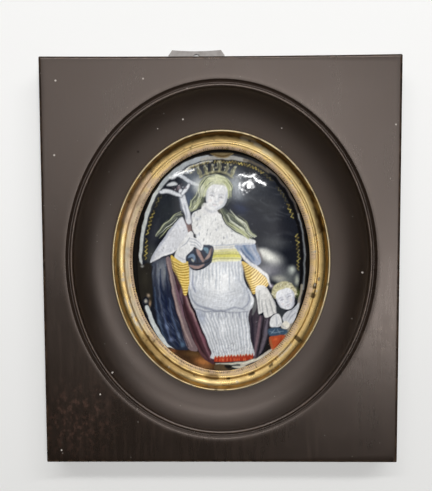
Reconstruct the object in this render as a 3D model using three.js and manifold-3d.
// Oval painted enamel plaque in a brass bezel and a turned wooden frame, made to hang on a wall.
// Millimetres, +Z up. The front faces -Y and the flat back lies at y = 0.
// The origin is in the middle of the back.
// Depths are measured back from the frame's front face.
import * as THREE from 'three';
import { mergeVertices } from 'three/addons/utils/BufferGeometryUtils.js';
import Module from 'manifold-3d';

// Wooden board
const FRAME_WIDTH = 132.6;
const FRAME_HEIGHT = 151.8;
const FRAME_THICKNESS = 14;
const EDGE_ROUNDING = 1.1;
const CORNER_ROUNDING = 0.5;
const TOP_SHRINKAGE = 0.35;
const BOTTOM_SHRINKAGE = 0.1;

// Ovals cut on an oval lathe: half the height is half the width plus one fixed difference
const WOOD_OVAL_DIFFERENCE = 9.05;
const WOOD_OVAL_CENTRE = new THREE.Vector2(0.1, 0.42);
const GROOVE_HALF_WIDTH = 57.8;
const GROOVE_FOOT_HALF_WIDTH = 56.85;
const GROOVE_DEPTH = 1.05;
const BEAD_HALF_WIDTH = 55.75;
const BEAD_RADIUS = 0.75;
const BEAD_DEPTH = 0.12;
const COVE_CENTRE = 37.5;
const COVE_POWER = 3.5;
const COVE_FLOOR_DEPTH = 7.6;
const SEAT_HALF_WIDTH = 41.9;
const APERTURE_HALF_WIDTH = 39.7;
const REBATE_HALF_WIDTH = 46;
const REBATE_DEPTH = 10.2;

// Brass bezel
const BEZEL_CENTRE = new THREE.Vector2(0.1, -0.1);
const BEZEL_OVAL_DIFFERENCE = 8.25;
const BEZEL_INNER_GAIN = 0.05;
const BEZEL_HALF_WIDTH = 41.35;
const LIP_RADIUS = 0.5;
const LIP_DEPTH = 4.6;
const DISH_HALF_WIDTH = 39.95;
const DISH_TOP_DEPTH = 5.6;
const DISH_BOTTOM_DEPTH = 7.55;
const RIDGE_HALF_WIDTH = 36.45;
const RIDGE_RADIUS = 0.55;
const RIDGE_DEPTH = 6.95;
const BAND_TOP_DEPTH = 7.45;
const BAND_BOTTOM_DEPTH = 8;
const BEZEL_OPENING_HALF_WIDTH = 33.8;
const OVERHANG_BACK_DEPTH = 8.5;
const OVERHANG_ROOT_HALF_WIDTH = 35.6;
const FLANGE_DEPTH = 7.25;
const NECK_HALF_WIDTH = 39.2;
const NECK_DEPTH = 9;

// Enamel plaque
const PLAQUE_CENTRE = new THREE.Vector2(0.5, -0.9);
const PLAQUE_HALF_WIDTH = 32.45;
const PLAQUE_HALF_HEIGHT = 42;
const PLAQUE_FULLNESS = 2.25;
const PLAQUE_RIM_DEPTH = 9;
const PLAQUE_DOME_HEIGHT = 5.1;
const PLAQUE_THICKNESS = 1.2;
const DOME_POWER = 2.5;

// Back board and hanging tab
const CLEARANCE = 0.3;
const BOARD_GAP = 0.4;
const BOARD_FRONT_DEPTH = 10.5;
const BOARD_EDGE_BEVEL = 0.5;
const TAB_CENTRE_X = -9;
const TAB_WIDTH = 21.4;
const TAB_TOP_WIDTH = 18.6;
const TAB_RISE = 4.3;
const TAB_TOP_DIP = 0.45;
const TAB_LENGTH_BEHIND = 15;
const TAB_THICKNESS = 0.8;
const TAB_HOLE_RADIUS = 1.3;
const TAB_CORNER = 3;

// Sides of each turned oval
const WOOD_STEPS = 68;
const BEZEL_STEPS = 60;
const PLAQUE_STEPS = 52;
const PLAQUE_RINGS = 7;

const wasm = await Module();
wasm.setup();

const wood = new THREE.MeshStandardMaterial({ color: 0x2b211b, roughness: 0.45, metalness: 0 });
const brass = new THREE.MeshStandardMaterial({ color: 0xc8a25a, roughness: 0.35, metalness: 1 });
const enamel = new THREE.MeshStandardMaterial({ color: 0x5b6878, roughness: 0.12, metalness: 0 });
const softwood = new THREE.MeshStandardMaterial({ color: 0x4a3a2a, roughness: 0.8, metalness: 0 });
const zinc = new THREE.MeshStandardMaterial({ color: 0xa6a19d, roughness: 0.6, metalness: 0.6 });

// A point on a turning profile: half the oval's width there, and depth from the frame's front
function profilePoint(halfWidth, depth) {
  return new THREE.Vector2(halfWidth, depth - FRAME_THICKNESS);
}

// Points on a rounded bead from its outer foot over the crest to its inner foot
function beadProfile(halfWidth, crestDepth, radius, steps) {
  const points = [];
  for (let step = 0; step <= steps; step += 1) {
    const angle = (Math.PI * step) / steps;
    points.push(profilePoint(
      halfWidth + radius * Math.cos(angle),
      crestDepth + radius * (1 - Math.sin(angle)),
    ));
  }
  return points;
}

// The wood's cove, steepest below the bead's inner foot and easing to a level floor
function coveProfile(steps) {
  const outer = BEAD_HALF_WIDTH - BEAD_RADIUS;
  const topDepth = BEAD_DEPTH + BEAD_RADIUS;
  const points = [];
  for (let step = 1; step <= steps; step += 1) {
    const halfWidth = outer - ((outer - SEAT_HALF_WIDTH) * step) / steps;
    const share = (halfWidth - COVE_CENTRE) / (outer - COVE_CENTRE);
    const rise = (COVE_FLOOR_DEPTH - topDepth) * share ** COVE_POWER;
    points.push(profilePoint(halfWidth, COVE_FLOOR_DEPTH - rise));
  }
  return points;
}

// The brass dish, falling from its outer edge to a level floor as a quarter of an ellipse
function dishProfile(outer, inner, topDepth, floorDepth, steps) {
  const points = [];
  for (let step = 0; step <= steps; step += 1) {
    const angle = (Math.PI * step) / (2 * steps);
    points.push(profilePoint(
      inner + (outer - inner) * Math.cos(angle),
      topDepth + (floorDepth - topDepth) * Math.sin(angle),
    ));
  }
  return points;
}

// Turns a profile round the front-to-back axis and draws the circles out to ovals
function turnOval(profile, centre, difference, steps) {
  const geometry = new THREE.LatheGeometry(profile, steps);
  const position = geometry.attributes.position;
  for (let index = 0; index < position.count; index += 1) {
    const x = position.getX(index);
    const z = position.getZ(index);
    const radius = Math.hypot(x, z);
    const stretch = radius > 0 ? 1 + difference(radius) / radius : 1;
    position.setX(index, centre.x + x);
    position.setZ(index, centre.y + z * stretch);
  }
  return geometry;
}

function toManifold(geometry) {
  const bare = geometry.clone();
  bare.deleteAttribute('normal');
  bare.deleteAttribute('uv');
  const merged = mergeVertices(bare, 1e-4);
  return new wasm.Manifold(new wasm.Mesh({
    numProp: 3,
    vertProperties: new Float32Array(merged.attributes.position.array),
    triVerts: new Uint32Array(merged.index.array),
  }));
}

function toGeometry(manifold) {
  const mesh = manifold.getMesh();
  const geometry = new THREE.BufferGeometry();
  geometry.setAttribute('position', new THREE.BufferAttribute(new Float32Array(mesh.vertProperties), 3));
  geometry.setIndex(new THREE.BufferAttribute(new Uint32Array(mesh.triVerts), 1));
  geometry.computeVertexNormals();
  return geometry;
}

// Drawn in X and Z and extruded towards +Y from the given y
function extrudeBack(shape, fromY, thickness, options = {}) {
  const geometry = new THREE.ExtrudeGeometry(shape, { depth: thickness, bevelEnabled: false, ...options });
  geometry.rotateX(Math.PI / 2);
  geometry.translate(0, fromY + thickness, 0);
  return geometry;
}

// Frame: the board with its rounded edges, less everything the lathe and the chisel took away
function boardOutline() {
  const right = FRAME_WIDTH / 2 - EDGE_ROUNDING;
  const top = FRAME_HEIGHT / 2 - EDGE_ROUNDING;
  const hollowTop = top - 2 * TOP_SHRINKAGE;
  const hollowBottom = top - 2 * BOTTOM_SHRINKAGE;
  const corner = CORNER_ROUNDING;
  const shape = new THREE.Shape();
  shape.moveTo(-right + corner, -top);
  shape.quadraticCurveTo(0, -hollowBottom, right - corner, -top);
  shape.quadraticCurveTo(right, -top, right, -top + corner);
  shape.lineTo(right, top - corner);
  shape.quadraticCurveTo(right, top, right - corner, top);
  shape.quadraticCurveTo(0, hollowTop, -right + corner, top);
  shape.quadraticCurveTo(-right, top, -right, top - corner);
  shape.lineTo(-right, -top + corner);
  shape.quadraticCurveTo(-right, -top, -right + corner, -top);
  return shape;
}

function woodOvalDifference(radius) {
  return WOOD_OVAL_DIFFERENCE * Math.min(1, radius / 20);
}

function frameHollow() {
  const past = 2;
  const profile = [
    profilePoint(0, -past),
    profilePoint(GROOVE_HALF_WIDTH, -past),
    profilePoint(GROOVE_HALF_WIDTH, 0.05),
    profilePoint(GROOVE_FOOT_HALF_WIDTH, GROOVE_DEPTH),
    ...beadProfile(BEAD_HALF_WIDTH, BEAD_DEPTH, BEAD_RADIUS, 6),
    ...coveProfile(12),
    profilePoint(SEAT_HALF_WIDTH - 0.2, COVE_FLOOR_DEPTH),
    profilePoint(APERTURE_HALF_WIDTH, COVE_FLOOR_DEPTH),
    profilePoint(APERTURE_HALF_WIDTH, REBATE_DEPTH),
    profilePoint(REBATE_HALF_WIDTH, REBATE_DEPTH),
    profilePoint(REBATE_HALF_WIDTH, FRAME_THICKNESS + past),
    profilePoint(0, FRAME_THICKNESS + past),
  ];
  return turnOval(profile, WOOD_OVAL_CENTRE, woodOvalDifference, WOOD_STEPS);
}

// The tab's outline, grown by a margin to give the pocket that it lies in
function tabOutline(margin) {
  const halfFoot = TAB_WIDTH / 2 + margin;
  const halfTop = TAB_TOP_WIDTH / 2 + margin;
  const bottom = FRAME_HEIGHT / 2 - TAB_LENGTH_BEHIND - margin;
  const top = FRAME_HEIGHT / 2 + TAB_RISE + margin;
  const shoulder = top - 2;
  const shape = new THREE.Shape();
  shape.moveTo(TAB_CENTRE_X - halfFoot + TAB_CORNER, bottom);
  shape.lineTo(TAB_CENTRE_X + halfFoot - TAB_CORNER, bottom);
  shape.quadraticCurveTo(TAB_CENTRE_X + halfFoot, bottom, TAB_CENTRE_X + halfFoot, bottom + TAB_CORNER);
  shape.lineTo(TAB_CENTRE_X + halfFoot, shoulder);
  shape.lineTo(TAB_CENTRE_X + halfTop, top);
  shape.quadraticCurveTo(TAB_CENTRE_X, top - 2 * TAB_TOP_DIP, TAB_CENTRE_X - halfTop, top);
  shape.lineTo(TAB_CENTRE_X - halfFoot, shoulder);
  shape.lineTo(TAB_CENTRE_X - halfFoot, bottom + TAB_CORNER);
  shape.quadraticCurveTo(TAB_CENTRE_X - halfFoot, bottom, TAB_CENTRE_X - halfFoot + TAB_CORNER, bottom);
  return shape;
}

function woodFrame() {
  const board = extrudeBack(boardOutline(), -FRAME_THICKNESS, FRAME_THICKNESS - 2 * EDGE_ROUNDING, {
    bevelEnabled: true,
    bevelSize: EDGE_ROUNDING,
    bevelThickness: EDGE_ROUNDING,
    bevelSegments: 3,
    curveSegments: 8,
  });
  board.translate(0, EDGE_ROUNDING, 0);
  const pocketDepth = TAB_THICKNESS + 2 * CLEARANCE;
  const pocket = extrudeBack(tabOutline(CLEARANCE), -pocketDepth, pocketDepth + 1, { curveSegments: 4 });
  const solid = toManifold(board)
    .subtract(toManifold(frameHollow()))
    .subtract(toManifold(pocket));
  return toGeometry(solid);
}

// Bezel: a turned ring with a lip, a dish, a ridge and a sloping inner band
function bezelOvalDifference(radius) {
  return BEZEL_OVAL_DIFFERENCE + BEZEL_INNER_GAIN * (BEZEL_HALF_WIDTH - radius);
}

function brassBezel() {
  const lipCentre = BEZEL_HALF_WIDTH - LIP_RADIUS;
  const dishFloor = RIDGE_HALF_WIDTH + RIDGE_RADIUS;
  const profile = [
    profilePoint(BEZEL_HALF_WIDTH, FLANGE_DEPTH),
    ...beadProfile(lipCentre, LIP_DEPTH, LIP_RADIUS, 6),
    profilePoint(DISH_HALF_WIDTH + 0.2, DISH_TOP_DEPTH + 0.1),
    ...dishProfile(DISH_HALF_WIDTH, dishFloor, DISH_TOP_DEPTH, DISH_BOTTOM_DEPTH, 5),
    ...beadProfile(RIDGE_HALF_WIDTH, RIDGE_DEPTH, RIDGE_RADIUS, 4).slice(1),
    profilePoint(RIDGE_HALF_WIDTH - RIDGE_RADIUS - 0.15, BAND_TOP_DEPTH),
    profilePoint(BEZEL_OPENING_HALF_WIDTH + 0.15, BAND_BOTTOM_DEPTH),
    profilePoint(BEZEL_OPENING_HALF_WIDTH, BAND_BOTTOM_DEPTH + 0.15),
    profilePoint(BEZEL_OPENING_HALF_WIDTH, OVERHANG_BACK_DEPTH),
    profilePoint(OVERHANG_ROOT_HALF_WIDTH, OVERHANG_BACK_DEPTH),
    profilePoint(OVERHANG_ROOT_HALF_WIDTH, NECK_DEPTH),
    profilePoint(NECK_HALF_WIDTH, NECK_DEPTH),
    profilePoint(NECK_HALF_WIDTH, FLANGE_DEPTH),
    profilePoint(BEZEL_HALF_WIDTH, FLANGE_DEPTH),
  ];
  // It was listed from the outer wall inwards, and a turned ring runs the other way round
  return turnOval(profile.reverse(), BEZEL_CENTRE, bezelOvalDifference, BEZEL_STEPS);
}

// Plaque: a thin shell, domed from a nearly level middle to a steeper rim
function domeRise(share) {
  return PLAQUE_DOME_HEIGHT * (1 - share ** DOME_POWER);
}

// Its outline is an oval with fuller shoulders than an ellipse
function fuller(value) {
  return Math.sign(value) * Math.abs(value) ** (2 / PLAQUE_FULLNESS);
}

function enamelPlaque() {
  const profile = [];
  for (let ring = 0; ring <= PLAQUE_RINGS; ring += 1) {
    const share = ring / PLAQUE_RINGS;
    profile.push(profilePoint(share, PLAQUE_RIM_DEPTH - domeRise(share)));
  }
  for (let ring = PLAQUE_RINGS; ring >= 0; ring -= 1) {
    const share = ring / PLAQUE_RINGS;
    profile.push(profilePoint(share, PLAQUE_RIM_DEPTH + PLAQUE_THICKNESS - domeRise(share)));
  }
  const geometry = new THREE.LatheGeometry(profile, PLAQUE_STEPS);
  const position = geometry.attributes.position;
  for (let index = 0; index < position.count; index += 1) {
    const x = position.getX(index);
    const z = position.getZ(index);
    const share = Math.hypot(x, z) || 1;
    position.setX(index, PLAQUE_CENTRE.x + PLAQUE_HALF_WIDTH * share * fuller(x / share));
    position.setZ(index, PLAQUE_CENTRE.y + PLAQUE_HALF_HEIGHT * share * fuller(z / share));
  }
  return geometry;
}

// Back board: an oval panel let into the rebate, flush with the frame's back
function backBoard() {
  const halfWidth = REBATE_HALF_WIDTH - BOARD_GAP;
  const profile = [
    profilePoint(0, BOARD_FRONT_DEPTH),
    profilePoint(halfWidth - BOARD_EDGE_BEVEL, BOARD_FRONT_DEPTH),
    profilePoint(halfWidth, BOARD_FRONT_DEPTH + BOARD_EDGE_BEVEL),
    profilePoint(halfWidth, FRAME_THICKNESS),
    profilePoint(0, FRAME_THICKNESS),
  ];
  return turnOval(profile, WOOD_OVAL_CENTRE, woodOvalDifference, WOOD_STEPS);
}

// Hanging tab: a sheet-metal plate in the pocket behind the top rail, with its hole above the frame
function hangingTab() {
  const shape = tabOutline(0);
  const hole = new THREE.Path();
  hole.absarc(TAB_CENTRE_X, FRAME_HEIGHT / 2 + TAB_HOLE_RADIUS + 0.3, TAB_HOLE_RADIUS, 0, 2 * Math.PI);
  shape.holes.push(hole);
  return extrudeBack(shape, -TAB_THICKNESS - CLEARANCE, TAB_THICKNESS, { curveSegments: 6 });
}

function part(name, geometry, material) {
  const mesh = new THREE.Mesh(geometry, material);
  mesh.name = name;
  return mesh;
}

const group = new THREE.Group();
group.add(part('wood_frame', woodFrame(), wood));
group.add(part('brass_bezel', brassBezel(), brass));
group.add(part('enamel_plaque', enamelPlaque(), enamel));
group.add(part('back_board', backBoard(), softwood));
group.add(part('hanging_tab', hangingTab(), zinc));

export default group;
